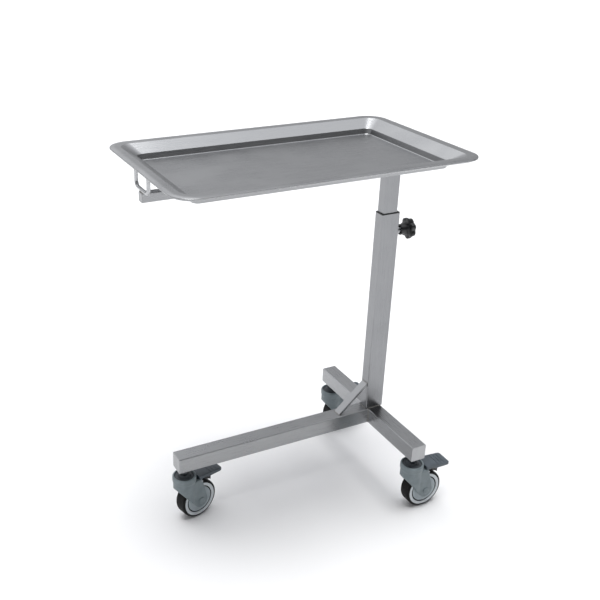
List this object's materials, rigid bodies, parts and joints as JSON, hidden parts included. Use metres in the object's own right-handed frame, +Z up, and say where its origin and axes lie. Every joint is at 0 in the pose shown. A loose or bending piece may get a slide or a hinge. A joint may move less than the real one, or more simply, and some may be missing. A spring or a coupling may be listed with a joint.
{
  "type": "instrument cart",
  "caption": "Wheeled instrument stand: a T-shaped tube base on swivel casters, a clamped telescoping column and an overhung arm that carries a lift-off rectangular tray.",
  "frame": {"origin": "on the floor, under the middle of the cart's bounding box; y = 0 is the plane through the leg, the column and the middle of the tray", "axes": "+Z up; +X from the overhanging end of the tray towards the column; +Y along the crossbeam"},
  "size_m": [0.716, 0.443, 0.899],
  "materials": {
    "stainless": "brushed stainless steel, satin",
    "zinc_steel": "zinc-plated steel",
    "brass": "turned brass",
    "dark_plastic": "black moulded nylon",
    "grey_housing": "blue-grey moulded nylon",
    "pedal_plastic": "dark blue-grey moulded nylon",
    "light_rim": "light grey moulded polypropylene",
    "hub_grey": "blue-grey moulded polypropylene",
    "black_tread": "black rubber tread"
  },
  "bodies": {
    "base": {"base_leg": "stainless", "base_crossbeam": "stainless", "base_end_plates": "stainless", "stem_sockets": "zinc_steel", "column_brace": "stainless", "outer_column": "stainless", "column_bush": "dark_plastic", "clamp_boss": "stainless", "leg_caster_stem": "zinc_steel", "leg_caster_swivel_cap": "dark_plastic", "near_caster_stem": "zinc_steel", "near_caster_swivel_cap": "dark_plastic", "far_caster_stem": "zinc_steel", "far_caster_swivel_cap": "dark_plastic"},
    "mast": {"inner_column": "stainless", "column_guide": "dark_plastic", "support_arm": "stainless", "arm_end_plates": "stainless", "tray_frame": "stainless", "tray_bracket_left": "stainless", "tray_bracket_right": "stainless"},
    "tray": {"tray": "stainless"},
    "clamp_pad": {"pressure_pad": "brass"},
    "clamp_knob": {"clamp_stud": "zinc_steel", "clamp_knob": "dark_plastic"},
    "leg_fork": {"leg_caster_swivel_bearing": "zinc_steel", "leg_caster_fork": "grey_housing", "leg_caster_axle": "zinc_steel", "leg_caster_axle_caps": "grey_housing", "leg_caster_pedal_pin": "zinc_steel"},
    "leg_wheel": {"leg_caster_tread": "black_tread", "leg_caster_rim": "light_rim", "leg_caster_hub_covers": "hub_grey", "leg_caster_wheel_bearings": "zinc_steel"},
    "leg_pedal": {"leg_caster_brake_pedal": "pedal_plastic", "leg_caster_brake_shoe": "dark_plastic"},
    "near_fork": {"near_caster_swivel_bearing": "zinc_steel", "near_caster_fork": "grey_housing", "near_caster_axle": "zinc_steel", "near_caster_axle_caps": "grey_housing", "near_caster_pedal_pin": "zinc_steel"},
    "near_wheel": {"near_caster_tread": "black_tread", "near_caster_rim": "light_rim", "near_caster_hub_covers": "hub_grey", "near_caster_wheel_bearings": "zinc_steel"},
    "near_pedal": {"near_caster_brake_pedal": "pedal_plastic", "near_caster_brake_shoe": "dark_plastic"},
    "far_fork": {"far_caster_swivel_bearing": "zinc_steel", "far_caster_fork": "grey_housing", "far_caster_axle": "zinc_steel", "far_caster_axle_caps": "grey_housing", "far_caster_pedal_pin": "zinc_steel"},
    "far_wheel": {"far_caster_tread": "black_tread", "far_caster_rim": "light_rim", "far_caster_hub_covers": "hub_grey", "far_caster_wheel_bearings": "zinc_steel"},
    "far_pedal": {"far_caster_brake_pedal": "pedal_plastic", "far_caster_brake_shoe": "dark_plastic"}
  },
  "joints": [
    {"name": "mast_lift", "type": "slide", "parent": "base", "child": "mast", "axis": [0, 0, 1], "range_m": [-0.095, 0.27]},
    {"name": "tray_lift_off", "type": "slide", "parent": "mast", "child": "tray", "axis": [0, 0, 1], "range_m": [0, 0.15]},
    {"name": "clamp_pad_slide", "type": "slide", "parent": "base", "child": "clamp_pad", "axis": [1, 0, 0], "range_m": [0, 0.00225]},
    {"name": "clamp_knob_turn", "type": "hinge", "parent": "clamp_pad", "child": "clamp_knob", "pos_m": [0.283, 0, 0.671], "axis": [1, 0, 0], "range_deg": [0, 540]},
    {"name": "leg_swivel", "type": "hinge", "parent": "base", "child": "leg_fork", "pos_m": [-0.27, 0, 0.12], "axis": [0, 0, 1], "continuous": true},
    {"name": "leg_wheel_spin", "type": "hinge", "parent": "leg_fork", "child": "leg_wheel", "pos_m": [-0.23716, 0.0088, 0.05], "axis": [-0.2588, 0.9659, 0], "continuous": true},
    {"name": "leg_brake", "type": "hinge", "parent": "leg_fork", "child": "leg_pedal", "pos_m": [-0.23426, 0.00958, 0.1065], "axis": [-0.2588, 0.9659, 0], "range_deg": [0, 8]},
    {"name": "near_swivel", "type": "hinge", "parent": "base", "child": "near_fork", "pos_m": [0.258, -0.1925, 0.12], "axis": [0, 0, 1], "continuous": true},
    {"name": "near_wheel_spin", "type": "hinge", "parent": "near_fork", "child": "near_wheel", "pos_m": [0.292, -0.1925, 0.05], "axis": [0, 1, 0], "continuous": true},
    {"name": "near_brake", "type": "hinge", "parent": "near_fork", "child": "near_pedal", "pos_m": [0.295, -0.1925, 0.1065], "axis": [0, 1, 0], "range_deg": [0, 8]},
    {"name": "far_swivel", "type": "hinge", "parent": "base", "child": "far_fork", "pos_m": [0.258, 0.1925, 0.12], "axis": [0, 0, 1], "continuous": true},
    {"name": "far_wheel_spin", "type": "hinge", "parent": "far_fork", "child": "far_wheel", "pos_m": [0.292, 0.1925, 0.05], "axis": [0, 1, 0], "continuous": true},
    {"name": "far_brake", "type": "hinge", "parent": "far_fork", "child": "far_pedal", "pos_m": [0.295, 0.1925, 0.1065], "axis": [0, 1, 0], "range_deg": [0, 8]}
  ],
  "couplings": [
    {"joint": "clamp_knob_turn", "follows": "clamp_pad_slide", "rad_per_m": 4188.8}
  ]
}
